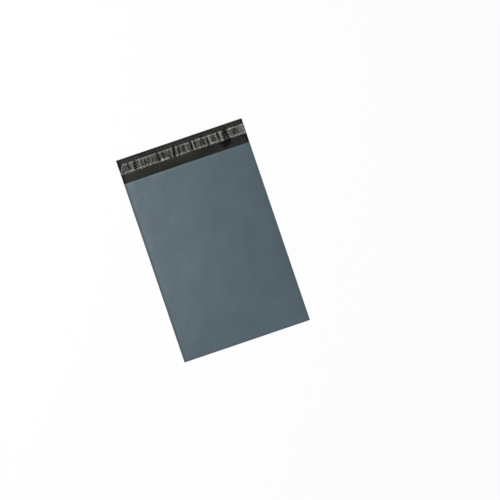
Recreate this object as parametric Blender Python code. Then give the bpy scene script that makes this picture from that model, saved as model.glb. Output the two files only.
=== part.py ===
"""Poly mailer lying flat with its flap open: a folded, side-welded film bag, its glue strip and the release liner.

Metres, +Z up. The bag lies on its back panel. X runs across it and +Y runs towards the flap. The origin is on the
surface that the bag lies on, under the middle of its outline.
"""

import math

import bmesh
import bpy

# The film bag: one sheet, grey outside and black inside, folded at the bottom and welded along both sides
BAG_WIDTH = 0.250
POUCH_LENGTH = 0.355  # bottom fold to mouth
FLAP_LENGTH = 0.047  # mouth to the flap's free edge
FILM = 0.00006
SEAL_WIDTH = 0.004  # welded band along each side
BEAD_WIDTH = 0.0006  # melted bead that the hot knife leaves along the cut edges
BEAD_HEIGHT = 0.00015
FOLD_GAP = 0.0006  # room left inside the bottom fold

# How the front panel stands off the back panel
PUFF = 0.009  # air between the panels where the pouch is fullest
FULLEST = 0.45  # where that is, as a share of the way from the fold to the mouth
MOUTH_SHARE = 0.8  # how much of the puff is left at the mouth
PUCKER_HEIGHT = 0.0005  # soft gathers along the side welds
PUCKER_REACH = 0.014
PUCKER_PITCH = 0.043
CREASE_WIDTH = 0.011

# Soft creases of the front panel. Each has its start and end, as shares from the middle to the side weld and from the
# fold to the mouth, and its height: up is a ridge and down is a dip.
CREASES = (
    ((-0.88, 0.03), (-0.52, 0.20), 0.0007),
    ((0.90, 0.03), (0.46, 0.24), 0.0008),
    ((-0.32, 0.33), (-0.12, 0.22), -0.0006),
    ((-0.55, 0.78), (-0.20, 0.70), 0.0004),
    ((0.20, 0.52), (0.42, 0.42), 0.0005),
    ((0.62, 0.66), (0.80, 0.48), -0.0004),
    ((0.50, 0.95), (0.68, 0.82), 0.0005),
)

# How the single-ply flap lies
FLAP_CURL = 0.0018  # rise of the free edge off the surface
FLAP_RIPPLE = 0.0005
RIPPLE_PITCH = 0.072

# The hot-melt glue strip on the flap, with the thicker rib that the coating head leaves along each border
GLUE_WIDTH = 0.0194
GLUE_INSET = 0.009  # from the flap's free edge
GLUE_THICKNESS = 0.00004
GLUE_RIB_WIDTH = 0.004
GLUE_RIB_HEIGHT = 0.00012
STRIP_START = 0.0065  # from the left cut edge to where the glue and the liner begin

# The clear release liner, crinkled across its width
LINER_WIDTH = 0.0245
LINER_INSET = 0.0055  # from the flap's free edge
LINER_THICKNESS = 0.00005
CRINKLE_HEIGHT = 0.0004
CRINKLE_PITCH = 0.0042
CRINKLE_DRIFT = 0.031  # length over which the crinkles bunch up and spread out
TUCK_HEIGHT = 0.0007
TUCK_WIDTH = 0.0016
TUCKS = (-0.76, -0.38, -0.13, 0.18, 0.41, 0.70)  # places of the deeper tucks, as shares from the middle to the edge

SEAT_GAP = 0.0003  # between pieces that lie on each other

# Facets
POUCH_COLUMNS = 30
POUCH_ROWS = 40
FOLD_STEPS = 3
FLAP_ROWS = 5
GLUE_COLUMNS = 24
LINER_COLUMNS = 200

HALF_WIDTH = BAG_WIDTH / 2
WELD_LINE = HALF_WIDTH - SEAL_WIDTH
FOLD_EDGE = -(POUCH_LENGTH + FLAP_LENGTH) / 2
MOUTH = FOLD_EDGE + POUCH_LENGTH
FLAP_EDGE = MOUTH + FLAP_LENGTH
STRIP_LEFT = STRIP_START - HALF_WIDTH
STRIP_RIGHT = HALF_WIDTH - BEAD_WIDTH - SEAT_GAP  # glue and liner stop short of the bead on the right
WELD_DISTANCE = 1e-7


def spaced(start, end, steps):
    """Evenly spaced values from start to end, both included."""
    return [start + (end - start) * i / steps for i in range(steps + 1)]


def distance_to_segment(x, y, start, end):
    """Distance from a point to a straight stretch."""
    along = (end[0] - start[0], end[1] - start[1])
    share = ((x - start[0]) * along[0] + (y - start[1]) * along[1]) / (along[0] ** 2 + along[1] ** 2)
    share = min(1.0, max(0.0, share))
    return math.hypot(x - start[0] - share * along[0], y - start[1] - share * along[1])


def bed(x, y):
    """Height of the back ply's underside: flat under the pouch, curling up and rippling towards the flap's edge."""
    share = max(0.0, (y - MOUTH) / FLAP_LENGTH)
    ripple = 0.5 + 0.5 * math.sin(math.tau * x / RIPPLE_PITCH)
    return FLAP_CURL * share**2 + FLAP_RIPPLE * share**2 * ripple


def puff(across, up):
    """Air gap of the smooth pillow: an arch between the welds that rises from the fold and eases at the mouth."""
    if up < FULLEST:
        rise = 1 - (1 - up / FULLEST) ** 2
    else:
        rise = 1 - (1 - MOUTH_SHARE) * ((up - FULLEST) / (1 - FULLEST)) ** 2
    return PUFF * (1 - across**2) * rise


def puckers(x, y, up):
    """Gathers beside the side welds: nothing at the weld, highest at their reach, then dying away."""
    off_weld = max(0.0, WELD_LINE - abs(x)) / PUCKER_REACH
    wave = 0.5 + 0.5 * math.sin(math.tau * y / PUCKER_PITCH + math.copysign(1.1, x))
    return PUCKER_HEIGHT * off_weld * math.exp(1 - off_weld) * wave * min(1.0, up / FULLEST)


def creases(x, y, across):
    """Soft ridges and dips along the straight stretches of CREASES, fading out at the welds."""
    height = 0.0
    for start, end, rise in CREASES:
        ends = [(a * WELD_LINE, FOLD_EDGE + b * POUCH_LENGTH) for a, b in (start, end)]
        height += rise * math.exp(-((distance_to_segment(x, y, *ends) / CREASE_WIDTH) ** 2))
    return height * (1 - across**4)


def gap(x, y):
    """Air gap between the two panels. It is nothing at the side welds and FOLD_GAP along the bottom fold."""
    across = min(1.0, abs(x) / WELD_LINE)
    up = max(0.0, (y - FOLD_EDGE) / POUCH_LENGTH)
    at_fold = FOLD_GAP * (1 - across**8)
    soft = puff(across, up) + puckers(x, y, up)
    return at_fold + soft + creases(x, y, across) * min(1.0, up / 0.1)


def bead(x):
    """Height of the melted bead over the film beside the cut edge."""
    off_middle = (HALF_WIDTH - BEAD_WIDTH / 2 - abs(x)) / (BEAD_WIDTH / 2)
    return BEAD_HEIGHT * max(0.0, 1 - off_middle**2)


def closed_loop(low, high):
    """One cross-section: its upper line from left to right, then its lower line back."""
    return high + low[::-1]


def two_ply_loop(low, high):
    """The same, with a point on each cut edge where the two plies meet."""
    left, right = ((low[i][0], low[i][1], (low[i][2] + high[i][2]) / 2) for i in (0, -1))
    return high + [right] + low[::-1] + [left]


def loft(bm, sections, material):
    """Triangles between each closed cross-section and the next.

    Each quad's diagonal rises to the right, on both faces of the film, so that the thin wall keeps its thickness.
    """
    rings = [[bm.verts.new(point) for point in section] for section in sections]
    for near, far in zip(rings, rings[1:]):
        for i, corner in enumerate(near):
            j = (i + 1) % len(near)
            if near[j].co.x >= corner.co.x:
                triangles = ((corner, near[j], far[j]), (corner, far[j], far[i]))
            else:
                triangles = ((corner, near[j], far[i]), (near[j], far[j], far[i]))
            for triangle in triangles:
                bm.faces.new(triangle).material_index = material(triangle)


def strip(bm, line, other, material):
    """Quads between two lines of as many points."""
    first, second = ([bm.verts.new(point) for point in points] for points in (line, other))
    for i in range(len(line) - 1):
        face = bm.faces.new((first[i], first[i + 1], second[i + 1], second[i]))
        face.material_index = material


def finish(bm, name, materials):
    """Welds the skins of one solid together and makes it a smooth-shaded object."""
    bmesh.ops.remove_doubles(bm, verts=bm.verts, dist=WELD_DISTANCE)
    bmesh.ops.dissolve_degenerate(bm, edges=bm.edges, dist=WELD_DISTANCE)
    bmesh.ops.recalc_face_normals(bm, faces=bm.faces)
    mesh = bpy.data.meshes.new(name)
    bm.to_mesh(mesh)
    bm.free()
    for material in materials:
        mesh.materials.append(material)
    mesh.shade_smooth()
    mesh.set_sharp_from_angle(angle=math.radians(40))
    part = bpy.data.objects.new(name, mesh)
    bpy.context.scene.collection.objects.link(part)
    return part


def surface_material(name, colour, roughness):
    """A Principled plastic with its linear colour and roughness."""
    material = bpy.data.materials.new(name)
    material.use_nodes = True
    shader = material.node_tree.nodes["Principled BSDF"]
    shader.inputs["Base Color"].default_value = (*colour, 1)
    shader.inputs["Roughness"].default_value = roughness
    shader.inputs["Metallic"].default_value = 0.0
    return material


def fold_line(columns, turn, inner):
    """Lower and upper line of the film at one step of the bottom fold, a half turn about a line inside it.

    turn goes from nothing at the outermost line of the fold to a quarter turn where the panels run flat.
    """
    low, high = [], []
    for x in columns:
        radius = gap(x, FOLD_EDGE) / 2
        outer_radius = radius + FILM
        arc = radius if inner else outer_radius
        y = FOLD_EDGE + outer_radius - arc * math.cos(turn)
        crown = bead(x) if not inner else 0.0
        low.append((x, y, outer_radius - arc * math.sin(turn)))
        high.append((x, y, outer_radius + (arc + crown) * math.sin(turn)))
    return low, high


def film_bag():
    """The folded and welded film: an outer skin and an inner skin round the pouch, with the single-ply flap beyond."""
    cavity = spaced(-WELD_LINE, WELD_LINE, POUCH_COLUMNS)
    seal = [HALF_WIDTH - BEAD_WIDTH, HALF_WIDTH - BEAD_WIDTH / 2, HALF_WIDTH]
    columns = [-x for x in reversed(seal)] + cavity + seal
    turns = spaced(0, math.pi / 2, FOLD_STEPS)
    first_row = FOLD_EDGE + FOLD_GAP + 2 * FILM
    rows = spaced(first_row, MOUTH, POUCH_ROWS)

    def underside(y):
        return [(x, y, bed(x, y)) for x in columns]

    def outside(y):
        return [(x, y, bed(x, y) + 2 * FILM + gap(x, y) + bead(x)) for x in columns]

    def floor(y, across):
        return [(x, y, bed(x, y) + FILM) for x in across]

    def ceiling(y):
        return [(x, y, bed(x, y) + FILM + gap(x, y)) for x in cavity]

    def flap_top(y):
        return [(x, y, bed(x, y) + FILM + bead(x)) for x in columns]

    def flap_colour(triangle):
        """Black on the flap's upper face and grey on its underside and edges."""
        return int(all(v.co.z > bed(v.co.x, v.co.y) + FILM / 2 for v in triangle))

    bm = bmesh.new()
    outer = [two_ply_loop(*fold_line(columns, turn, inner=False)) for turn in turns]
    outer += [two_ply_loop(underside(y), outside(y)) for y in rows]
    loft(bm, outer, lambda triangle: 0)
    inner = [closed_loop(*fold_line(cavity, turn, inner=True)) for turn in turns]
    inner += [closed_loop(floor(y, cavity), ceiling(y)) for y in rows]
    loft(bm, inner, lambda triangle: 1)
    flap_rows = spaced(MOUTH, FLAP_EDGE, FLAP_ROWS)
    loft(bm, [closed_loop(underside(y), flap_top(y)) for y in flap_rows], flap_colour)
    strip(bm, underside(FLAP_EDGE), flap_top(FLAP_EDGE), 0)
    strip(bm, ceiling(MOUTH), outside(MOUTH)[len(seal) : -len(seal)], 0)
    for side in (slice(0, len(seal) + 1), slice(-len(seal) - 1, None)):
        strip(bm, flap_top(MOUTH)[side], outside(MOUTH)[side], 0)
    materials = [
        surface_material("grey_outer_film", (0.105, 0.138, 0.162), 0.45),
        surface_material("black_inner_film", (0.012, 0.012, 0.011), 0.4),
    ]
    return finish(bm, "film_bag", materials)


def glue_height(y):
    """Height of the glue's upper face over its seat: a flat coat with a rounded rib along each border."""
    from_edge = FLAP_EDGE - GLUE_INSET - y
    from_border = min(from_edge, GLUE_WIDTH - from_edge)
    if from_border < 0:
        return 0.0
    share = min(1.0, from_border / GLUE_RIB_WIDTH)
    return GLUE_THICKNESS + GLUE_RIB_HEIGHT * math.sin(math.pi * share)


def glue_rows():
    """Places along Y of the glue's borders and of its ribs' crowns and feet."""
    near, far = FLAP_EDGE - GLUE_INSET - GLUE_WIDTH, FLAP_EDGE - GLUE_INSET
    steps = (0.0, GLUE_RIB_WIDTH / 2, GLUE_RIB_WIDTH)
    return [near + step for step in steps] + [far - step for step in reversed(steps)]


def laid_strip(name, columns, rows, underside, thickness, material):
    """A thin strip that lies on the flap, from the height of its underside and its thickness."""
    sections = []
    for y in rows:
        low = [(x, y, underside(x, y)) for x in columns]
        high = [(x, y, underside(x, y) + thickness(y)) for x in columns]
        sections.append((low, high))
    bm = bmesh.new()
    loft(bm, [closed_loop(low, high) for low, high in sections], lambda triangle: 0)
    for low, high in (sections[0], sections[-1]):
        strip(bm, low, high, 0)
    return finish(bm, name, [material])


def glue_strip():
    """The hot-melt coat, laid straight on the flap's black face."""
    amber = surface_material("hot_melt_glue", (0.05, 0.047, 0.04), 0.2)
    columns = spaced(STRIP_LEFT, STRIP_RIGHT, GLUE_COLUMNS)
    return laid_strip(
        "glue_strip", columns, glue_rows(), lambda x, y: bed(x, y) + FILM + SEAT_GAP, glue_height, amber
    )


def crinkle(x, y):
    """Rise of the liner off the glue: fine crinkles that bunch and spread, and a few deeper tucks across it."""
    bunching = 0.9 * math.sin(math.tau * x / CRINKLE_DRIFT) + 0.5 * math.sin(math.tau * x / (0.57 * CRINKLE_DRIFT))
    lean = 0.6 * math.sin(math.tau * x / (1.7 * CRINKLE_DRIFT)) * (y - FLAP_EDGE) / LINER_WIDTH
    wave = 0.5 + 0.5 * math.sin(math.tau * x / CRINKLE_PITCH + bunching + math.tau * lean)
    swell = 0.6 + 0.4 * math.sin(math.tau * x / (0.83 * CRINKLE_DRIFT) + 2.0)
    tucks = sum(math.exp(-(((x - place * HALF_WIDTH) / TUCK_WIDTH) ** 2)) for place in TUCKS)
    return CRINKLE_HEIGHT * swell * wave + TUCK_HEIGHT * tucks


def release_liner():
    """The clear liner over the glue and the lip beyond it that a finger lifts."""
    far = FLAP_EDGE - LINER_INSET
    glue = glue_rows()
    rows = [far - LINER_WIDTH] + glue[1:3] + glue[3:5] + [far]
    columns = spaced(STRIP_LEFT, STRIP_RIGHT, LINER_COLUMNS)

    def underside(x, y):
        return bed(x, y) + FILM + SEAT_GAP + glue_height(y) + SEAT_GAP + crinkle(x, y)

    clear = surface_material("clear_liner_film", (0.12, 0.12, 0.115), 0.15)
    return laid_strip("release_liner", columns, rows, underside, lambda y: LINER_THICKNESS, clear)


def main():
    for old in list(bpy.data.objects):
        bpy.data.objects.remove(old, do_unlink=True)
    film_bag()
    glue_strip()
    release_liner()


main()
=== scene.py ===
"""Looks of the poly mailer: a folded film bag with its glue strip and its crinkled release liner.

It lies on a pale floor. Metres, +Z up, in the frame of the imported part: X runs across the bag and
+Y towards its flap.
"""

import math

import bpy
import numpy as np
from mathutils import Matrix, Vector


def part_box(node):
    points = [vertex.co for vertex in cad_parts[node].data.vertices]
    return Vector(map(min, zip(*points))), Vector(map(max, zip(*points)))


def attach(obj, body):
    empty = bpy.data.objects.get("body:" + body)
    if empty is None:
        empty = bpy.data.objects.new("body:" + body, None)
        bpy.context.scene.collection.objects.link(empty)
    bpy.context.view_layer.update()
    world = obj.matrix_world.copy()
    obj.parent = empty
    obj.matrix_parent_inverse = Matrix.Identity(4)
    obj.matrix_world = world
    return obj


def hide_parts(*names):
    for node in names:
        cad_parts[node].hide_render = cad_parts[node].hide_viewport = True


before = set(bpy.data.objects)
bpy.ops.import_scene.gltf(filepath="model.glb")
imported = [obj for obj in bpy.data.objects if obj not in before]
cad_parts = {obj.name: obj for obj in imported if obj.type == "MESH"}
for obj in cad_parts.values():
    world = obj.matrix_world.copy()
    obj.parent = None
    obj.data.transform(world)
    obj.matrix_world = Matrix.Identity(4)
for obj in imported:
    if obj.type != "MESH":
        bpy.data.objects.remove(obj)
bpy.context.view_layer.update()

# Sizes of the part, from the frame's boxes
BAG_LOW, BAG_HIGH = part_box("film_bag")
LINER_LOW, LINER_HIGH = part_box("release_liner")
GLUE_LOW, GLUE_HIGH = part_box("glue_strip")
HALF_WIDTH = BAG_HIGH[0]
FOLD_EDGE = BAG_LOW[1]
FLAP_EDGE = BAG_HIGH[1]
GLUE_WIDTH = GLUE_HIGH[1] - GLUE_LOW[1]

# Sizes of the part that the boxes don't give
POUCH_LENGTH = 0.355
FILM = 0.00006
SEAL_WIDTH = 0.004
BEAD_WIDTH = 0.0006
BEAD_HEIGHT = 0.00015
GLUE_RIB_WIDTH = 0.004
LINER_FILM = 0.00005
MOUTH = FOLD_EDGE + POUCH_LENGTH
FLAP_LENGTH = FLAP_EDGE - MOUTH
WELD_LINE = HALF_WIDTH - SEAL_WIDTH

# Air between the panels: the gap at the fold, the most air there is, how far up the pouch that is
# as a share of its length, how much of it is left at the mouth, and how far aside its crest stands
FOLD_GAP = 0.0006
PUFF = 0.009
FULLEST = 0.45
MOUTH_SHARE = 0.8
CREST_ASIDE = 0.11

# Relief of the front panel
PUCKER_HEIGHT = 0.000175
PUCKER_REACH = 0.014
PUCKER_PITCH = 0.043
PUCKER_PHASE = 1.1
WELD_RISE = 0.00022
WELD_RISE_REACH = 0.0009
MOUTH_WAVE = 0.00022
MOUTH_WAVE_REACH = 0.012
MOUTH_ROLL = 0.00042
MOUTH_ROLL_REACH = 0.0013
BROAD_SWAY = 0.00030
NARROW_SWAY = 0.00007
HANDLING_CREASES = 46
MOST_GATHERS = 17
CREASE_WIDTH = 0.011

# Broad creases of the front panel: start and end, as shares from the middle to the weld and from
# the fold to the mouth, and height
CREASES = (
    ((-0.88, 0.03), (-0.52, 0.20), 0.0007),
    ((0.90, 0.03), (0.46, 0.24), 0.0008),
    ((-0.32, 0.33), (-0.12, 0.22), -0.0006),
    ((-0.55, 0.78), (-0.20, 0.70), 0.0004),
    ((0.20, 0.52), (0.42, 0.42), 0.0005),
    ((0.62, 0.66), (0.80, 0.48), -0.0004),
    ((0.50, 0.95), (0.68, 0.82), 0.0005),
)

# Relief of the flap
FLAP_CURL = 0.0018
FLAP_RIPPLE = 0.0005
RIPPLE_PITCH = 0.072
FLAP_WAVE = 0.00012

# Pinched creases of the flap: start and end in millimetres from its left cut edge and its free
# edge, height and width in millimetres, and how dark the painted shade in the pinch is
FLAP_CREASES = (
    ((209.2, 1.0), (208.4, 44.0), 0.26, 1.2, 0.7),
    ((213.2, 1.0), (215.0, 38.0), 0.26, 1.2, 0.7),
    ((220.0, 30.2), (195.0, 33.2), 0.80, 2.2, 1.6),
    ((217.0, 36.0), (198.0, 41.0), 0.60, 1.8, 0.9),
    ((196.0, 35.0), (206.0, 45.0), 0.40, 1.2, 0.4),
    ((7.0, 27.0), (16.0, 5.0), 0.30, 1.6, 0.0),
    ((122.0, 33.0), (140.0, 41.0), 0.20, 2.0, 0.0),
    ((240.0, 30.0), (249.0, 40.0), 0.30, 1.6, 0.2),
)
# Where a line of that list has its height and the darkness of its painted shade
PINCH_HEIGHT = 2
PINCH_DARKNESS = 4

# Glue: its coat, the rise of the rib along each border, and its seat above the film
GLUE_COAT = 0.00005
GLUE_RIB_RISE = 0.00012
GLUE_SEAT = 0.00001

# The middles of the glue's two ribs, as distances down from the flap's edge
UPPER_RIB = FLAP_EDGE - GLUE_HIGH[1] + GLUE_RIB_WIDTH / 2
LOWER_RIB = FLAP_EDGE - GLUE_LOW[1] - GLUE_RIB_WIDTH / 2

# Relief of the release liner over the glue
LINER_CLEARANCE = 0.00005
COARSE_PLEAT = 0.00009
FINE_PLEAT = 0.00004
HAIR_PLEAT = 0.00001
AIR_FOLD_HEIGHT = 0.00050
PLEAT_SHOULDER = 0.00016
LIP_WAVE = 0.00022

# The liner's left end is cut at a slant: its place at the glue's upper border, how far it moves for
# each metre down, and how far it stays from the bag's cut edge
SLANT_START = 0.0092
SLANT = -0.54
LINER_INSET = 0.0010

# Lines across the release liner, in millimetres: each one's distance from the bag's left cut edge,
# its half width, how far it leans to the right over the liner's width, how far its middle lies
# below the flap's edge, how far it reaches up and down from there, and how strong it is.
# Pleats flattened onto the glue, where the black film shows through, with painted shade in each
# groove
PLEATS = (
    (5.2, 1.5, 0.0, 27, 3.5, 0.70),
    (18.6, 1.9, 0.5, 17, 8, 0.60),
    (31.5, 2.1, -2.6, 19.5, 8.5, 1.00),
    (45.5, 1.3, -1.0, 18, 6, 0.35),
    (52.1, 1.6, 0.0, 18, 6, 0.35),
    (60.7, 1.4, 0.0, 18, 6, 0.30),
    (78.2, 2.0, 0.5, 18.5, 9.5, 1.00),
    (86.9, 1.6, 0.0, 18, 7, 0.65),
    (100.2, 1.9, 0.0, 27, 3.4, 1.00),
    (109.2, 2.3, -4.0, 18, 18, 1.00),
    (118.7, 1.7, -3.0, 18, 9, 0.85),
    (129.2, 1.5, -0.5, 18, 8, 0.55),
    (143.8, 2.1, 0.6, 19, 11, 0.85),
    (151.2, 1.3, 0.0, 18, 10, 0.55),
    (165.7, 1.8, 2.4, 18, 8, 0.60),
    (162.1, 1.4, 0.0, 27, 3, 0.45),
    (169.5, 1.4, 0.0, 27, 3, 0.55),
    (175.9, 1.7, 1.5, 21, 9, 0.80),
    (189.5, 1.5, 0.0, 18, 6, 0.40),
    (197.5, 1.7, 0.8, 17, 9, 0.85),
    (208.7, 2.0, -1.0, 18, 18, 1.00),
    (211.4, 1.8, 0.0, 13, 6, 0.80),
    (214.1, 1.9, 1.6, 19, 18, 1.00),
    (229.0, 2.6, 0.0, 18, 6, 0.40),
    (237.6, 1.5, 0.0, 11, 3, 0.40),
)
# Silvery folds, where air lies under it, each with a painted glint
AIR_FOLDS_AND_GLINTS = (
    (26.0, 1.8, -2.0, 20, 9, 0.24),
    (40.9, 1.6, -2.0, 18, 9, 0.24),
    (48.7, 1.0, -2.0, 18, 7, 0.12),
    (63.8, 1.5, -0.5, 18, 8, 0.24),
    (82.9, 1.6, 2.0, 16, 8, 0.16),
    (83.9, 2.1, 2.0, 26.5, 2.4, 0.45),
    (91.5, 1.6, 0.0, 26.5, 2.4, 0.25),
    (105.0, 1.6, -3.4, 17, 9, 0.26),
    (114.2, 1.5, -1.0, 19, 9, 0.14),
    (133.6, 1.6, 0.0, 18, 8, 0.26),
    (147.9, 1.5, -0.4, 18, 11, 0.28),
    (154.6, 1.2, 0.0, 11, 3, 0.16),
    (158.3, 1.4, 0.8, 19, 9, 0.14),
    (160.8, 1.2, 0.0, 11, 3, 0.24),
    (165.7, 1.3, 0.0, 27, 2.4, 0.30),
    (171.1, 1.4, 0.0, 18, 7, 0.10),
    (179.9, 1.9, -1.0, 17, 9, 0.38),
    (183.5, 3.2, 0.0, 26.6, 2.2, 0.42),
    (193.1, 1.5, 0.0, 18, 8, 0.34),
    (202.1, 2.0, 0.6, 18, 10, 0.38),
    (219.4, 1.9, 0.0, 18, 9, 0.18),
    (222.4, 2.6, 0.0, 11, 2.6, 0.28),
    (238.8, 1.8, 3.0, 17, 8, 0.18),
    (245.8, 2.0, 4.0, 18, 10, 0.36),
)
# How far below the flap's edge a leaning line is in its own place, and the width its lean is over
LINES_MIDDLE = 18
LINES_SPAN = 24

# Rows and columns of the grids, where the bag's columns lie closer for the flap's pinches, and how
# far out on the weld its two plain columns are
PANEL_COLUMNS = 138
PINCHED_COLUMNS = 29
PINCHED_FROM = 0.070
PINCHED_TO = 0.095
PINCHED_MARGIN = 0.0004
WELD_COLUMNS = (0.0016, 0.0030)
LIP_ROWS = 9
LIP_LENGTH = 0.006
PANEL_ROWS = 212
FOLD_ROWS = 9
FOLD_START = 0.0012
BACK_ROWS = 22
FLAP_ROWS = 48
GLUE_ROWS = 34
GLUE_COLUMNS = 300
LINER_ROWS = 50
LINER_COLUMNS = 680

# Sizes of the patterns in the materials, and the headings of those that are stretched out
CLOUD = 0.045
MOTTLE = 0.008
WEB_LINE = 0.0022
ORANGE_PEEL = 0.0025
SPECK = 0.0011
SCUFF = 0.0010
SCUFF_HEADINGS = (0.5, 1.3, 2.2)
CREASED_PATCH = 0.05
HAIRLINES = ((0.034, 0.4), (0.022, 1.5))
COMB_LINE = 0.0012
GLUE_BLOB = 0.004
LINER_HAIR = 0.0007
LINER_BLOTCH = 0.0022

# The photograph, 500 pixels square, sees the bag square-on, turned to the left
IMAGE = 500
BAG_CENTRE_PX = (213.0, 240.4)
BAG_WIDTH_PX = 132.5
BAG_TURN = math.radians(18.77)
METRES_PER_PX = 2 * HALF_WIDTH / BAG_WIDTH_PX

# The paper floor lies just under the film and glows white, and the world lights the bag evenly
FLOOR_SIZE = 12
FLOOR_DROP = 0.0002
FLOOR_GLOW = 0.88
WORLD_LIGHT = 0.46


def colour(code):
    """Linear RGBA of an sRGB hex value."""
    srgb = np.array([int(code[i : i + 2], 16) for i in (1, 3, 5)]) / 255
    linear = np.where(srgb <= 0.04045, srgb / 12.92, ((srgb + 0.055) / 1.055) ** 2.4)
    return (*linear.tolist(), 1.0)


def add(tree, kind, inputs=(), **settings):
    """Adds one node. Settings are its properties, and inputs are its sockets.

    An input is a value, a socket to link, or a node whose first output is linked.
    """
    made = tree.nodes.new(kind)
    for key, value in settings.items():
        setattr(made, key, value)
    for key, value in dict(inputs).items():
        if isinstance(value, bpy.types.Node):
            value = value.outputs[0]
        if isinstance(value, bpy.types.NodeSocket):
            tree.links.new(value, made.inputs[key])
        else:
            made.inputs[key].default_value = value
    return made


def new_material(name):
    """A material with an empty tree, and that tree."""
    material = bpy.data.materials.new(name)
    material.use_nodes = True
    material.node_tree.nodes.clear()
    return material, material.node_tree


# Shapes


def smooth(low, high, value):
    """0 below low, 1 above high, and an S-curve between."""
    share = np.clip((value - low) / (high - low), 0, 1)
    return share * share * (3 - 2 * share)


def bell(distance, width):
    """1 at no distance, falling off as exp(-(distance / width) squared)."""
    return np.exp(-((distance / width) ** 2))


def fade(distance, reach):
    """1 at no distance, falling off as exp(-distance / reach)."""
    return np.exp(-distance / reach)


def swell(x, y, length, seed, waves=18):
    """Gentle random undulation: plane waves of about that length, each with a heading and a phase.

    Their sum is divided by the root of their number, so it keeps mostly between -1 and 1.
    """
    rng = np.random.default_rng(seed)
    headings = rng.uniform(0, math.tau, waves)
    paces = math.tau / (length * rng.uniform(0.7, 1.5, waves))
    phases = rng.uniform(0, math.tau, waves)
    field = np.zeros(np.broadcast(x, y).shape)
    for heading, pace, phase in zip(headings, paces, phases):
        field += np.cos(pace * (x * math.cos(heading) + y * math.sin(heading)) + phase)
    return field / math.sqrt(waves)


def crease(x, y, start, end, width, bow=0.0):
    """Ridge of height one along a bowed line, with a rounded crest, fading out at both ends.

    It falls off as exp(-distance / width). Bow is how far its middle lies off the straight line.
    """
    along = np.subtract(end, start)
    length = math.hypot(*along)
    ux, uy = along / length
    share = ((x - start[0]) * ux + (y - start[1]) * uy) / length
    offset = (y - start[1]) * ux - (x - start[0]) * uy - bow * 4 * share * (1 - share)
    ends = smooth(-0.15, 0.3, share) * smooth(-0.15, 0.3, 1 - share)
    rounding = 0.35 * width
    return fade(np.hypot(offset, rounding) - rounding, width) * ends


def soft_ridge(x, y, start, end, width):
    """Ridge of height one along a straight stretch, with a bell curve across it."""
    along = np.subtract(end, start)
    share = ((x - start[0]) * along[0] + (y - start[1]) * along[1]) / (along @ along)
    share = np.clip(share, 0, 1)
    distance = np.hypot(x - start[0] - share * along[0], y - start[1] - share * along[1])
    return bell(distance, width)


def inside_weld(x):
    """Distance inwards from the nearer side weld, and 0 on the weld."""
    return np.maximum(0, WELD_LINE - np.abs(x))


def along_flap(y):
    """Share of the way from the mouth to the flap's free edge, and 0 under the pouch."""
    return np.clip((y - MOUTH) / FLAP_LENGTH, 0, 1)


def bed(x, y):
    """Underside of the back ply: flat under the pouch, then curling up along the flap.

    The curl is the square of the way along the flap, and a ripple across the bag varies its height.
    """
    ripple = 0.5 + 0.5 * np.sin(math.tau * x / RIPPLE_PITCH)
    return (FLAP_CURL + FLAP_RIPPLE * ripple) * along_flap(y) ** 2


def broad_creases(x, y):
    """Sum of the front panel's listed creases, each a soft ridge or dip."""
    height = np.zeros(np.broadcast(x, y).shape)
    for start, end, rise in CREASES:
        ends = [(a * WELD_LINE, FOLD_EDGE + b * POUCH_LENGTH) for a, b in (start, end)]
        height += rise * soft_ridge(x, y, *ends, CREASE_WIDTH)
    return height


def handling_creases(x, y):
    """Fine creases that packing left in the front panel: short bowed ridges and dips.

    Each has a random place, one of three rough headings in quarter turns, a length of 16 to 64 mm,
    and a height or depth of 0.05 to 0.16 mm.
    """
    rng = np.random.default_rng(11)
    lowest = (-0.9 * WELD_LINE, FOLD_EDGE + 0.01)
    highest = (0.9 * WELD_LINE, MOUTH - 0.01)
    height = np.zeros(np.broadcast(x, y).shape)
    for _ in range(HANDLING_CREASES):
        middle = rng.uniform(lowest, highest)
        heading = rng.choice((0.35, 1.1, 2.2)) * math.pi / 2 + rng.normal(0, 0.35)
        half = rng.uniform(0.008, 0.032) * np.array((math.cos(heading), math.sin(heading)))
        rise = rng.choice((-1, 1)) * rng.uniform(0.00005, 0.00016)
        width = rng.uniform(0.002, 0.0045)
        bow = rng.normal(0, 0.002)
        height += rise * crease(x, y, middle - half, middle + half, width, bow)
    return height


def weld_gathers(x, y):
    """Short puckers that run in from the side welds, where the cooling weld drew the film up.

    They lie 12 to 30 mm apart, reach 8 to 28 mm in, and are 0.06 to 0.2 mm high.
    """
    height = np.zeros(np.broadcast(x, y).shape)
    for side, seed in ((-1, 5), (1, 6)):
        rng = np.random.default_rng(seed)
        places = FOLD_EDGE + np.cumsum(rng.uniform(0.012, 0.030, MOST_GATHERS))
        for place in places[places < MOUTH - 0.006]:
            reach = rng.uniform(0.008, 0.028)
            start = np.array((side * (WELD_LINE - 0.001), place))
            end = start + (-side * reach, rng.normal(0, 0.25) * reach)
            rise = rng.uniform(0.00006, 0.0002)
            width = rng.uniform(0.0018, 0.0034)
            height += rise * crease(x, y, start, end, width)
    return height * smooth(0, 0.006, inside_weld(x))


def mouth_edge(x, y):
    """Low waves of the free mouth edge, dying away down the panel, and the roll of its last 2 mm.

    The waves are two sines across the bag, the longer one of varying pitch, and the roll is a dip.
    """
    back = MOUTH - y
    long_wave = np.sin(math.tau * x / 0.055 + 0.7 * np.sin(math.tau * x / 0.13))
    short_wave = 0.6 * np.sin(math.tau * x / 0.021 + 1.9)
    waves = MOUTH_WAVE * (long_wave + short_wave) * fade(back, MOUTH_WAVE_REACH)
    return waves - MOUTH_ROLL * fade(back, MOUTH_ROLL_REACH)


def weld_rise(x):
    """Quick rise of the film beside each weld, levelling out within a few millimetres."""
    return WELD_RISE * (1 - fade(inside_weld(x), WELD_RISE_REACH))


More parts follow.
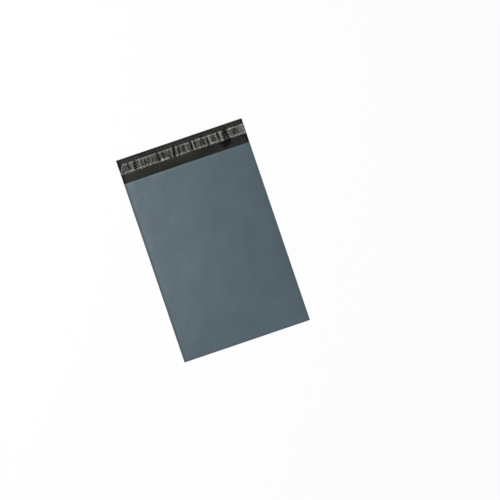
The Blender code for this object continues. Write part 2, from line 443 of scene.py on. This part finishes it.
def air(x, y):
    """Air gap between the panels: an arch between the welds, with every fold and wave on top.

    The arch is 1 less the square of the share of the way across, with its crest a little to the
    right. Up the pouch it follows one parabola to its fullest place, and another to the mouth.
    """
    across = np.clip(x / WELD_LINE, -1, 1)
    across = np.abs(across - CREST_ASIDE * (1 - across**2))
    up = np.clip((y - FOLD_EDGE) / POUCH_LENGTH, 0, 1)
    filling = 1 - (1 - up / FULLEST) ** 2
    easing = 1 - (1 - MOUTH_SHARE) * ((up - FULLEST) / (1 - FULLEST)) ** 2
    arch = PUFF * (1 - across**2) * np.where(up < FULLEST, filling, easing)

    steps_in = inside_weld(x) / PUCKER_REACH
    wave = 0.5 + 0.5 * np.sin(math.tau * y / PUCKER_PITCH + np.copysign(PUCKER_PHASE, x))
    pucker = PUCKER_HEIGHT * steps_in * np.exp(1 - steps_in) * wave * np.minimum(1, up / FULLEST)

    sway = BROAD_SWAY * swell(x, y, length=0.085, seed=3)
    sway = sway + NARROW_SWAY * swell(x, y, length=0.032, seed=4)
    loose = (1 - across**4) * np.minimum(1, up / 0.1)
    fine = handling_creases(x, y) + weld_gathers(x, y) + mouth_edge(x, y) + weld_rise(x)
    panel = FOLD_GAP * (1 - across**8) + arch + pucker
    return panel + loose * (broad_creases(x, y) + sway) + fine * (1 - across**16)


def bead(x):
    """Melted bead along the cut edges: half a round of its width."""
    off_middle = (HALF_WIDTH - BEAD_WIDTH / 2 - np.abs(x)) / (BEAD_WIDTH / 2)
    return BEAD_HEIGHT * np.sqrt(np.clip(1 - off_middle**2, 0, 1))


def flap_pinches(x, y, column):
    """Sum of the flap's listed creases, each as high as the given column of its line says."""
    total = np.zeros(np.broadcast(x, y).shape)
    for line in FLAP_CREASES:
        start, end = ((a / 1000 - HALF_WIDTH, FLAP_EDGE - b / 1000) for a, b in line[:2])
        total += line[column] * crease(x, y, start, end, line[3] / 1000)
    return total


def flap_relief(x, y):
    """Faint waves of the single-ply flap and its pinched creases, all fading out at the mouth."""
    waves = FLAP_WAVE * np.maximum(0, 1 + swell(x, y, length=0.03, seed=21))
    pinches = flap_pinches(x, y, PINCH_HEIGHT) / 1000
    return (waves + pinches) * smooth(0, 0.08, along_flap(y))


def grid_object(name, points, materials, attributes=()):
    """An object from a rows by columns grid of points, with its border edges sharp.

    A face's normal is the way along a row crossed with the way down a column. An attribute is a
    grid of values, one for each point.
    """
    rows, columns = points.shape[:2]
    index = np.arange(rows * columns).reshape(rows, columns)
    corners = (index[:-1, :-1], index[:-1, 1:], index[1:, 1:], index[1:, :-1])
    quads = np.stack(corners, axis=-1).reshape(-1, 4)
    mesh = bpy.data.meshes.new(name)
    mesh.from_pydata(points.reshape(-1, 3), [], quads)
    ends = np.empty(len(mesh.edges) * 2, np.int32)
    mesh.edges.foreach_get("vertices", ends)
    row, column = np.divmod(ends.reshape(-1, 2), columns)
    rim = np.zeros(len(mesh.edges), bool)
    for line, last in ((row, rows - 1), (column, columns - 1)):
        rim |= (line == 0).all(axis=1) | (line == last).all(axis=1)
    mesh.attributes.new("sharp_edge", "BOOLEAN", "EDGE").data.foreach_set("value", rim)
    for key, values in dict(attributes).items():
        flat = values.astype(np.float32).ravel()
        mesh.attributes.new(key, "FLOAT", "POINT").data.foreach_set("value", flat)
    mesh.polygons.foreach_set("use_smooth", np.ones(len(quads), bool))
    for material in materials:
        mesh.materials.append(material)
    piece = bpy.data.objects.new(name, mesh)
    bpy.context.scene.collection.objects.link(piece)
    return piece


def give_wall(piece, thickness, other_face=0):
    """Makes a sheet a closed wall, inwards from its outer face.

    other_face is how many materials further on the inner face takes its own from.
    """
    wall = piece.modifiers.new("film", "SOLIDIFY")
    wall.thickness = thickness
    wall.offset = -1
    wall.material_offset = other_face


def across_columns():
    """Places across the bag: even, but closer at the flap's pinches, the welds and the beads."""
    even = np.linspace(-WELD_LINE, WELD_LINE, PANEL_COLUMNS)
    pinched = np.linspace(PINCHED_FROM, PINCHED_TO, PINCHED_COLUMNS)
    clear = (even < PINCHED_FROM - PINCHED_MARGIN) | (even > PINCHED_TO + PINCHED_MARGIN)
    over_bead = (SEAL_WIDTH - BEAD_WIDTH, SEAL_WIDTH - BEAD_WIDTH / 2, SEAL_WIDTH)
    weld = WELD_LINE + np.array((*WELD_COLUMNS, *over_bead))
    return np.sort(np.concatenate((-weld, even[clear], pinched, weld)))


def film_marks(x, y, on_flap):
    """Where the film is darker or paler, from 0 to 1 or so: a grid of values for each attribute.

    The grey outer face has two: the dark side welds and beads, with painted shade on the mouth's
    curled lip and along the fold, and then a painted highlight in a band beside that lip. The black
    inner face has two: the same welds and beads, with painted shade in the flap's pinches and a
    painted shadow line beside its cut ends, and then a patchy painted sheen on the flap, paler
    towards the mouth.
    """
    off_middle = np.abs(x)
    below_mouth = MOUTH - y
    weld = 0.55 * smooth(WELD_LINE - 0.0008, WELD_LINE + 0.0004, off_middle)
    cut = smooth(HALF_WIDTH - 1.2 * BEAD_WIDTH, HALF_WIDTH - 0.8 * BEAD_WIDTH, off_middle)
    sides = np.maximum(weld, cut)
    # Painted shade on the mouth's curled last millimetre
    lip_painted_shade = 0.7 * fade(np.maximum(0, below_mouth), 0.0007)
    # Painted shade along the fold
    fold_painted_shade = 0.75 * bell(y - FOLD_EDGE, 0.0027)
    # Painted highlight in a band 3 mm below the mouth
    painted_lip_highlight = 0.3 * bell(below_mouth - 0.0030, 0.0010)

    # Painted shadow line just inside the bead at the flap's cut ends
    painted_bead_shadow = 0.9 * bell(HALF_WIDTH - off_middle - 0.0022, 0.0012)
    # Painted shade in the flap's pinches, as dark as each listed crease says, with the painted
    # shadow line
    pinched = np.clip(flap_pinches(x, y, PINCH_DARKNESS) + painted_bead_shadow, 0, 1)
    # Painted sheen on the black flap: broad and fine patches, paler towards the mouth
    painted_sheen = 0.5 + 0.30 * swell(x, y, length=0.06, seed=145)
    painted_sheen = painted_sheen + 0.07 * swell(x, y, length=0.008, seed=22)
    painted_sheen = painted_sheen + 0.22 * smooth(0.024, 0.034, FLAP_EDGE - y)
    return {
        "welded_and_painted_shade": np.maximum(sides, np.where(on_flap, 0, np.maximum(lip_painted_shade, fold_painted_shade))),
        "painted_lip_highlight": np.where(on_flap, 0, painted_lip_highlight),
        "pinched": np.maximum(sides, np.where(on_flap, pinched, 0)),
        "painted_sheen": np.where(on_flap, painted_sheen, 0),
    }


def film_bag():
    """One sheet, from the mouth down the front panel, round the fold and back to the flap's edge.

    Along the sheet the height is the air gap and two films on the front, a half turn at the fold,
    and the bed on the back. Across it are the columns.
    """
    x = across_columns()[None, :]
    radius = air(x, FOLD_EDGE) / 2 + FILM
    fold_end = FOLD_EDGE + FOLD_START
    lip = np.linspace(MOUTH, MOUTH - LIP_LENGTH, LIP_ROWS)[:-1]
    panel = np.linspace(MOUTH - LIP_LENGTH, fold_end, PANEL_ROWS)
    front_y = np.concatenate((lip, panel))[:, None]
    front = 2 * FILM + air(x, front_y) + bead(x)
    turn = np.linspace(math.pi / 2, -math.pi / 2, FOLD_ROWS)[:, None]
    fold_y = FOLD_EDGE + radius * (1 - np.cos(turn))
    fold = radius * (1 + np.sin(turn)) + bead(x) * np.maximum(0, np.sin(turn))
    pouch_back = np.linspace(fold_end, MOUTH, BACK_ROWS)[:-1]
    flap = np.linspace(MOUTH, FLAP_EDGE, FLAP_ROWS)
    back_y = np.concatenate((pouch_back, flap))[:, None]
    back = bed(x, back_y) + flap_relief(x, back_y)

    stretches = (front_y, fold_y, back_y)
    y = np.concatenate([np.broadcast_to(part, (len(part), x.size)) for part in stretches])
    x = np.broadcast_to(x, y.shape)
    points = np.stack((x, y, np.concatenate((front, fold, back))), axis=-1)
    on_flap = np.arange(len(y))[:, None] >= len(y) - FLAP_ROWS
    marks = {key: values[:, ::-1] for key, values in film_marks(x, y, on_flap).items()}

    # Third colours: specks, welds and painted shade; fourth colours: scuff marks and painted light.
    # The darker attributes hold welds and painted shade, the paler ones painted highlight and sheen.
    outer = blown_film(
        "blown_polyethylene_grey",
        darker="welded_and_painted_shade",
        paler="painted_lip_highlight",
        colours=("#4F5F69", "#4A5961", "#3E4C54", "#63747E"),
        roughness=0.49,
        shine=0.36,
    )
    inner = blown_film(
        "blown_polyethylene_black",
        darker="pinched",
        paler="painted_sheen",
        colours=("#1C1C1A", "#191917", "#020202", "#31322E"),
        roughness=0.44,
        shine=0.06,
    )
    piece = grid_object("mailer_bag", points[:, ::-1], (outer, inner), marks)
    give_wall(piece, FILM, other_face=1)
    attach(piece, "root")
    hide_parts("film_bag")


def laid_strip(name, x, y, top, thickness, materials, attributes=()):
    """A closed strip of film or glue on the flap: top is the height of its upper face."""
    x, y = np.broadcast_arrays(x, y)
    points = np.stack((x, y, top), axis=-1)
    turned = {key: values[::-1] for key, values in dict(attributes).items()}
    piece = grid_object(name, points[::-1], materials, turned)
    give_wall(piece, thickness)
    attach(piece, "root")
    return piece


def flap_face(x, y):
    """Height of the flap's black upper face."""
    return bed(x, y) + flap_relief(x, y) + FILM


def glue_height(x, y):
    """Thickness of the glue: a thin coat, and along each border a rib that is half a sine wave.

    The ribs are a little uneven along the bag.
    """
    down = GLUE_HIGH[1] - y
    from_border = np.clip(np.minimum(down, GLUE_WIDTH - down), 0, GLUE_RIB_WIDTH)
    uneven = 1 + 0.12 * swell(x, y * 0.3, length=0.018, seed=31)
    rib = GLUE_RIB_RISE * np.sin(math.pi * from_border / GLUE_RIB_WIDTH) * uneven
    coated = (down >= -1e-6) & (y >= GLUE_LOW[1] - 1e-6)
    return np.where(coated, GLUE_COAT + rib, 0)


def glue_strip():
    """The hot-melt coat on the flap's black face, between its cut ends."""
    x = np.linspace(GLUE_LOW[0], GLUE_HIGH[0], GLUE_COLUMNS)[None, :]
    y = np.linspace(GLUE_HIGH[1], GLUE_LOW[1], GLUE_ROWS)[:, None]
    top = flap_face(x, y) + GLUE_SEAT + glue_height(x, y)
    piece = laid_strip("glue_coat", x, y, top, GLUE_COAT, (hot_melt(),))
    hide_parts("glue_strip")


def streaks(x, down, pitch, lean, seed, waves=16):
    """Random pleats across the liner, between -1 and 1 or so: waves along X of about that pitch.

    Every wave leans its own way and drifts to one side down the liner, so the pleats branch and
    fade as crinkles do.
    """
    rng = np.random.default_rng(seed)
    field = np.zeros(np.broadcast(x, down).shape)
    for _ in range(waves):
        pace = math.tau / (pitch * rng.uniform(0.6, 1.9))
        field += np.cos(pace * (x + rng.normal(lean, 0.11) * down) + rng.uniform(0, math.tau))
    return field / math.sqrt(waves)


def across_liner(x, down, lines):
    """The strongest of the listed lines across the liner at each place.

    Each is a bell curve across itself, and fades past its reach as exp(-(distance / reach) ** 4).
    """
    left = (x + HALF_WIDTH) * 1000
    below = down * 1000
    shown = np.zeros(np.broadcast(left, below).shape)
    for place, half_width, lean, middle, reach, strength in lines:
        leaning = lean * ((below - LINES_MIDDLE) / LINES_SPAN)
        reaching = np.exp(-(((below - middle) / reach) ** 4))
        line = strength * bell(left - place - leaning, half_width) * reaching
        shown = np.maximum(shown, line)
    return shown


def between_ribs(down, start, end):
    """1 between the glue's ribs and 0 outside them.

    Each side is an S-curve from start to end, counted inwards from the middle of its rib.
    """
    under_upper = smooth(UPPER_RIB + start, UPPER_RIB + end, down)
    over_lower = smooth(start - LOWER_RIB, end - LOWER_RIB, -down)
    return under_upper * over_lower


def liner_lift(x, down, on_glue, crinkles, pleats, folds):
    """How far the liner stands off the glue: random pleats, listed folds and waves of both lips.

    The random pleats are three lots of streaks, and higher on the lips. A listed pleat flattens
    them, and has a shoulder on each side.
    """
    coarse, fine, hair = crinkles
    lips = 1 - on_glue
    uneven = 0.75 + 0.25 * swell(x, down * 0.2, length=0.030, seed=44)
    lift = COARSE_PLEAT * (1 + coarse) + FINE_PLEAT * (1 + fine) + HAIR_PLEAT * hair
    lift = lift * (1 + 1.1 * lips) * uneven + AIR_FOLD_HEIGHT * folds
    lift = lift * (1 - 0.7 * pleats) + PLEAT_SHOULDER * pleats * (1 - pleats) * 4
    lip_waves = 1 + np.sin(math.tau * x / 0.017 + 2 * np.sin(math.tau * x / 0.06))
    return np.maximum(0, lift + LIP_WAVE * lips * lip_waves)


def liner_silver(x, down, on_glue, crinkles, pleats, folds):
    """How silvery the liner is, from 0 to 1: how much air lies under it, with painted light and
    shade.

    It is most so on both ribs and in the listed folds, which also carry painted glints, less between
    the ribs, and not at all in a listed pleat, where the black film shows through with painted
    shade.
    Its cut edges and its slanted left end show as fine painted highlights.
    """
    coarse, fine, hair = crinkles
    upper_rib = bell(down - UPPER_RIB - 0.0007, 0.0016)
    lower_rib = 0.96 * bell(down - LOWER_RIB - 0.0004, 0.0018)
    patchy = 0.60 + 0.08 * swell(x, down * 0.5, length=0.009, seed=45) + 0.08 * fine
    loose = np.clip(0.23 + 0.05 * coarse + 0.06 * fine + 0.04 * hair, 0, 1)
    inner = between_ribs(down, 0.0002, 0.0022) * loose
    # The listed folds add silver where air lies under the liner, with painted glints
    silver = np.maximum((upper_rib + lower_rib) * patchy, inner) + folds * (0.2 + 0.8 * on_glue)
    # A listed pleat takes the silver away: the black film shows through, with painted shade in its
    # groove
    silver = np.clip(silver, 0, 1) * (1 - pleats) ** 1.5

    # Painted highlights: a fine line along each cut rim and cut end, and along the slanted left end
    from_rim = np.minimum(down - down.min(), down.max() - down)
    from_end = np.minimum(x - x[:, :1], x[:, -1:] - x)
    cut = 0.24 * fade(from_rim, 0.0004) + 0.05 * fade(from_end, 0.0004)
    slanted = smooth(0.007, 0.010, down) * (1 - smooth(0.024, 0.028, down)) * (x < 0)
    painted_slant_highlight = 0.3 * bell(from_end, 0.0012) * slanted
    return np.clip(silver + cut * (1 - pleats) + painted_slant_highlight, 0, 1)


def release_liner():
    """The clear film over the glue, with a slanted left end and a grid that shows its crinkles."""
    down = np.linspace(FLAP_EDGE - LINER_HIGH[1], FLAP_EDGE - LINER_LOW[1], LINER_ROWS)[:, None]
    slanted = SLANT_START + SLANT * (down - (FLAP_EDGE - GLUE_HIGH[1]))
    left = np.maximum(LINER_INSET, slanted) - HALF_WIDTH
    share = np.linspace(0, 1, LINER_COLUMNS)[None, :]
    x = left + (LINER_HIGH[0] - left) * share
    y = FLAP_EDGE - down + 0 * x

    on_glue = between_ribs(down, -0.0028, -0.0012)
    crinkles = (
        streaks(x, down, pitch=0.0046, lean=0.06, seed=41),
        streaks(x, down, pitch=0.0021, lean=-0.02, seed=42),
        streaks(x, down, pitch=0.0011, lean=0.0, seed=43),
    )
    pleats = across_liner(x, down, PLEATS)
    folds = across_liner(x, down, AIR_FOLDS_AND_GLINTS)
    lift = liner_lift(x, down, on_glue, crinkles, pleats, folds)
    silver = liner_silver(x, down, on_glue, crinkles, pleats, folds)
    top = flap_face(x, y) + glue_height(x, y) + LINER_CLEARANCE + LINER_FILM + lift

    film = (release_film(),)
    piece = laid_strip("release_liner_film", x, y, top, LINER_FILM, film, {"silver": silver})
    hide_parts("release_liner")


# Materials


def scuffs_and_painted_light(tree, place, pale):
    """The stronger of the painted light and of scuff marks, the peaks of a noise stretched out three
    ways.
    """
    shown = pale
    for heading in SCUFF_HEADINGS:
        turned = {"Vector": place, "Rotation": (0, 0, heading), "Scale": (1, 12, 1)}
        turned = add(tree, "ShaderNodeMapping", turned, vector_type="TEXTURE")
        stroke = {"Vector": turned, "Scale": 1 / SCUFF, "Detail": 1}
        stroke = add(tree, "ShaderNodeTexNoise", stroke)
        peaks = {"Value": stroke, "From Min": 0.71, "From Max": 0.82, "To Max": 0.4}
        peaks = add(tree, "ShaderNodeMapRange", peaks)
        shown = add(tree, "ShaderNodeMath", {0: shown, 1: peaks}, operation="MAXIMUM")
    return shown


def hairline_creases(tree, place, relief):
    """The relief with hairline creases, in patches, where a broad noise crosses its middle."""
    patches = {"Vector": place, "Scale": 1 / CREASED_PATCH, "Detail": 1}
    patches = add(tree, "ShaderNodeTexNoise", patches)
    patches = {"Value": patches, "From Min": 0.46, "From Max": 0.60}
    patches = add(tree, "ShaderNodeMapRange", patches)
    for size, heading in HAIRLINES:
        turned = {"Vector": place, "Rotation": (0, 0, heading), "Scale": (1, 0.35, 1)}
        turned = add(tree, "ShaderNodeMapping", turned)
        broad = {"Vector": turned, "Scale": 1 / size, "Detail": 0.3}
        broad = add(tree, "ShaderNodeTexNoise", broad)
        off = add(tree, "ShaderNodeMath", {0: broad, 1: 0.5}, operation="SUBTRACT")
        off = add(tree, "ShaderNodeMath", {0: off}, operation="ABSOLUTE")
        ridge = {"Value": off, "From Max": 0.035, "To Min": 0.65, "To Max": 0}
        ridge = add(tree, "ShaderNodeMapRange", ridge)
        relief = {0: ridge, 1: patches, 2: relief}
        relief = add(tree, "ShaderNodeMath", relief, operation="MULTIPLY_ADD")
    return relief


def blown_film(name, darker, paler, colours, roughness, shine):
    """Blown and pigmented low-density polyethylene: satin, clouded where the pigment lies thicker.

    Faint lines run along the web, across the bag, and an orange peel of about 2.5 mm breaks up each
    highlight. Hairline creases 2 mm wide lie in patches, and there are short pale scuff marks half a
    millimetre wide and small dark specks. The attribute named by darker says where the film is
    smoother and darker: at the hot knife's weld, and where painted shade lies, as in a pinch and
    along the fold. The one named by paler says where painted light lies: a highlight on the grey
    face, a sheen on the black. The colours are those of the plain and the clouded film, of the
    specks, welds and painted shade, and of the scuff marks and painted light, and shine is its
    specular level.
    """
    plain, clouded, speck_weld_and_painted_shade_film, scuff_and_painted_light_film = (colour(code) for code in colours)
    material, tree = new_material(name)
    place = add(tree, "ShaderNodeTexCoord").outputs["Object"]
    # The darker attribute holds welds and painted shade, the paler one painted light
    dark = add(tree, "ShaderNodeAttribute", attribute_name=darker).outputs["Fac"]
    pale = add(tree, "ShaderNodeAttribute", attribute_name=paler).outputs["Fac"]
    clouds = add(tree, "ShaderNodeTexNoise", {"Vector": place, "Scale": 1 / CLOUD})
    mottle = add(tree, "ShaderNodeTexNoise", {"Vector": place, "Scale": 1 / MOTTLE, "Detail": 3})
    web = add(tree, "ShaderNodeMapping", {"Vector": place, "Scale": (1 / 60, 1, 1)})
    lines = add(tree, "ShaderNodeTexNoise", {"Vector": web, "Scale": 1 / WEB_LINE})
    peel = add(tree, "ShaderNodeTexNoise", {"Vector": place, "Scale": 1 / ORANGE_PEEL})
    specks = add(tree, "ShaderNodeTexNoise", {"Vector": place, "Scale": 1 / SPECK, "Detail": 1})

    depth = add(tree, "ShaderNodeMath", {0: mottle, 1: 0.25, 2: clouds}, operation="MULTIPLY_ADD")
    depth = add(tree, "ShaderNodeMath", {0: lines, 1: 0.40, 2: depth}, operation="MULTIPLY_ADD")
    depth = add(tree, "ShaderNodeMapRange", {"Value": depth, "From Min": 0.56, "From Max": 1.10})
    painted_light_and_scuffs = scuffs_and_painted_light(tree, place, pale)
    specks = {"Value": specks, "From Min": 0.70, "From Max": 0.76, "To Max": 0.5}
    specks = add(tree, "ShaderNodeMapRange", specks)
    # Layers: clouds, scuff marks with painted light, specks, then welds with painted shade
    layers = ((depth, clouded), (painted_light_and_scuffs, scuff_and_painted_light_film), (specks, speck_weld_and_painted_shade_film), (dark, speck_weld_and_painted_shade_film))
    tint = plain
    for share, over in layers:
        tint = {0: share, 6: tint, 7: over}
        tint = add(tree, "ShaderNodeMix", tint, data_type="RGBA").outputs[2]

    satin = {
        "Value": mottle,
        "From Min": 0.3,
        "From Max": 0.7,
        "To Min": roughness - 0.03,
        "To Max": roughness + 0.03,
    }
    satin = add(tree, "ShaderNodeMapRange", satin)
    satin = add(tree, "ShaderNodeMath", {0: dark, 1: -0.2, 2: satin}, operation="MULTIPLY_ADD")

    relief = add(tree, "ShaderNodeMath", {0: lines, 1: 0.5, 2: peel}, operation="MULTIPLY_ADD")
    relief = add(tree, "ShaderNodeMath", {0: relief, 1: 0.28}, operation="MULTIPLY")
    relief = hairline_creases(tree, place, relief)
    bump = add(tree, "ShaderNodeBump", {"Strength": 1.0, "Distance": 0.00011, "Height": relief})
    shader = {
        "Base Color": tint,
        "Roughness": satin,
        "IOR": 1.51,
        "Specular IOR Level": shine,
        "Normal": bump,
    }
    shader = add(tree, "ShaderNodeBsdfPrincipled", shader)
    add(tree, "ShaderNodeOutputMaterial", {"Surface": shader})
    return material


def hot_melt():
    """Clear pressure-sensitive hot melt, slot-coated: on the black film a wet, faintly amber gloss.

    The slot's fine comb lines run along the strip, and blobs of about 4 mm vary its gloss.
    """
    material, tree = new_material("hot_melt_pressure_sensitive_coat")
    place = add(tree, "ShaderNodeTexCoord").outputs["Object"]
    along = add(tree, "ShaderNodeMapping", {"Vector": place, "Scale": (1 / 18, 1, 1)})
    combed = add(tree, "ShaderNodeTexNoise", {"Vector": along, "Scale": 1 / COMB_LINE})
    blobs = add(tree, "ShaderNodeTexNoise", {"Vector": place, "Scale": 1 / GLUE_BLOB})
    amber = add(tree, "ShaderNodeMapRange", {"Value": blobs, "From Min": 0.35, "From Max": 0.65})
    tint = {0: amber, 6: colour("#0A0907"), 7: colour("#13110C")}
    tint = add(tree, "ShaderNodeMix", tint, data_type="RGBA").outputs[2]
    wet = {"Value": blobs, "From Min": 0.3, "From Max": 0.7, "To Min": 0.12, "To Max": 0.26}
    wet = add(tree, "ShaderNodeMapRange", wet)
    relief = add(tree, "ShaderNodeMath", {0: blobs, 1: 0.8, 2: combed}, operation="MULTIPLY_ADD")
    bump = add(tree, "ShaderNodeBump", {"Strength": 0.6, "Distance": 0.00006, "Height": relief})
    shader = {
        "Base Color": tint,
        "Roughness": wet,
        "IOR": 1.48,
        "Specular IOR Level": 0.06,
        "Normal": bump,
    }
    shader = add(tree, "ShaderNodeBsdfPrincipled", shader)
    add(tree, "ShaderNodeOutputMaterial", {"Surface": shader})
    return material


def release_film():
    """Cast polypropylene release film, clear and glossy: dark on the glue, silvery over air.

    The attribute silver says where air lies under it, with its painted glints, painted shade and
    painted edge highlights, and creases of 0.7 mm run across it.
    """
    material, tree = new_material("cast_polypropylene_release_film")
    place = add(tree, "ShaderNodeTexCoord").outputs["Object"]
    silver = add(tree, "ShaderNodeAttribute", attribute_name="silver").outputs["Fac"]
    drawn_out = add(tree, "ShaderNodeMapping", {"Vector": place, "Scale": (1, 1 / 16, 1)})
    hairs = add(tree, "ShaderNodeTexNoise", {"Vector": drawn_out, "Scale": 1 / LINER_HAIR})
    blotch = {"Vector": place, "Scale": 1 / LINER_BLOTCH, "Detail": 3}
    blotch = add(tree, "ShaderNodeTexNoise", blotch)
    broken = add(tree, "ShaderNodeMath", {0: blotch, 1: 0.3, 2: hairs}, operation="MULTIPLY_ADD")
    spread = {"From Min": 0.38, "From Max": 0.92, "To Min": -0.24, "To Max": 0.24}
    broken = add(tree, "ShaderNodeMapRange", {"Value": broken, **spread})
    loose = add(tree, "ShaderNodeMapRange", {"Value": silver, "From Max": 0.3, "To Max": 0.8})
    shown = add(tree, "ShaderNodeMath", {0: broken, 1: loose, 2: silver}, operation="MULTIPLY_ADD")
    share = add(tree, "ShaderNodeMapRange", {"Value": shown, "From Max": 0.8})
    tint = {0: share, 6: colour("#161513"), 7: colour("#BEBDB7")}
    tint = add(tree, "ShaderNodeMix", tint, data_type="RGBA").outputs[2]
    satin = add(tree, "ShaderNodeMapRange", {"Value": shown, "To Min": 0.14, "To Max": 0.30})
    cover = add(tree, "ShaderNodeMapRange", {"Value": shown, "To Min": 0.03, "To Max": 0.64})
    bump = add(tree, "ShaderNodeBump", {"Strength": 0.7, "Distance": 0.00010, "Height": hairs})
    shader = {
        "Base Color": tint,
        "Roughness": satin,
        "IOR": 1.49,
        "Specular IOR Level": 1.0,
        "Alpha": cover,
        "Normal": bump,
    }
    shader = add(tree, "ShaderNodeBsdfPrincipled", shader)
    add(tree, "ShaderNodeOutputMaterial", {"Surface": shader})
    return material


# Stage


def seen_white(tree):
    """1 for what the camera, mirrors and clear pieces see, and 0 for light that falls on the bag."""
    path = add(tree, "ShaderNodeLightPath").outputs
    rays = {0: path["Is Camera Ray"], 1: path["Is Glossy Ray"]}
    direct = add(tree, "ShaderNodeMath", rays, operation="MAXIMUM")
    rays = {0: direct, 1: path["Is Transmission Ray"]}
    return add(tree, "ShaderNodeMath", rays, operation="MAXIMUM")


def film_stage():
    """Floor and world: white paper under soft, even light."""
    bpy.ops.mesh.primitive_plane_add(size=FLOOR_SIZE, location=(0, 0, -FLOOR_DROP))
    floor = bpy.context.object
    floor.name = "floor"
    material, tree = new_material("white_paper")
    paper = add(tree, "ShaderNodeBsdfDiffuse", {"Color": (0.95, 0.95, 0.95, 1)})
    glow = add(tree, "ShaderNodeEmission", {"Color": (1, 1, 1, 1), "Strength": 1.0})
    share = {0: seen_white(tree), 1: FLOOR_GLOW}
    share = add(tree, "ShaderNodeMath", share, operation="MULTIPLY")
    mixed = add(tree, "ShaderNodeMixShader", {0: share, 1: paper, 2: glow})
    add(tree, "ShaderNodeOutputMaterial", {"Surface": mixed})
    floor.data.materials.append(material)

    world = bpy.data.worlds.new("studio")
    bpy.context.scene.world = world
    world.use_nodes = True
    tree = world.node_tree
    tree.nodes.clear()
    strength = {"Value": seen_white(tree), "To Min": WORLD_LIGHT, "To Max": 1}
    strength = add(tree, "ShaderNodeMapRange", strength)
    light = add(tree, "ShaderNodeBackground", {"Color": (1, 1, 1, 1), "Strength": strength})
    add(tree, "ShaderNodeOutputWorld", {"Surface": light})


def softbox(name, azimuth, elevation, distance, size, power):
    """A square lamp that looks at the bag. Azimuth is counted from +X towards +Y, in degrees."""
    data = bpy.data.lights.new(name, "AREA")
    data.shape = "SQUARE"
    data.size = size
    data.energy = power
    lamp = bpy.data.objects.new(name, data)
    bpy.context.scene.collection.objects.link(lamp)
    around = math.radians(azimuth)
    rise = math.radians(elevation)
    level = math.cos(rise)
    towards = Vector((math.cos(around) * level, math.sin(around) * level, math.sin(rise)))
    lamp.location = towards * distance
    lamp.rotation_mode = "QUATERNION"
    lamp.rotation_quaternion = towards.to_track_quat("Z", "Y")


def overhead_camera():
    """A long lens straight above, rolled and set aside to put the bag where the photograph does."""
    data = bpy.data.cameras.new("camera")
    data.lens = 135
    data.sensor_width = 36
    right = Vector((math.cos(BAG_TURN), -math.sin(BAG_TURN), 0))
    up = Vector((math.sin(BAG_TURN), math.cos(BAG_TURN), 0))
    aside = (IMAGE / 2 - BAG_CENTRE_PX[0]) * METRES_PER_PX
    above = (BAG_CENTRE_PX[1] - IMAGE / 2) * METRES_PER_PX
    distance = IMAGE * METRES_PER_PX * data.lens / data.sensor_width
    camera = bpy.data.objects.new("camera", data)
    bpy.context.scene.collection.objects.link(camera)
    place = right * aside + up * above + Vector((0, 0, distance))
    turn = Matrix((right, up, Vector((0, 0, 1)))).transposed().to_4x4()
    camera.matrix_world = Matrix.Translation(place) @ turn
    bpy.context.scene.camera = camera


film_bag()
glue_strip()
release_liner()
film_stage()
softbox("key_softbox", azimuth=150, elevation=50, distance=2.6, size=1.3, power=46)
overhead_camera()

bpy.context.scene.view_settings.view_transform = "Standard"
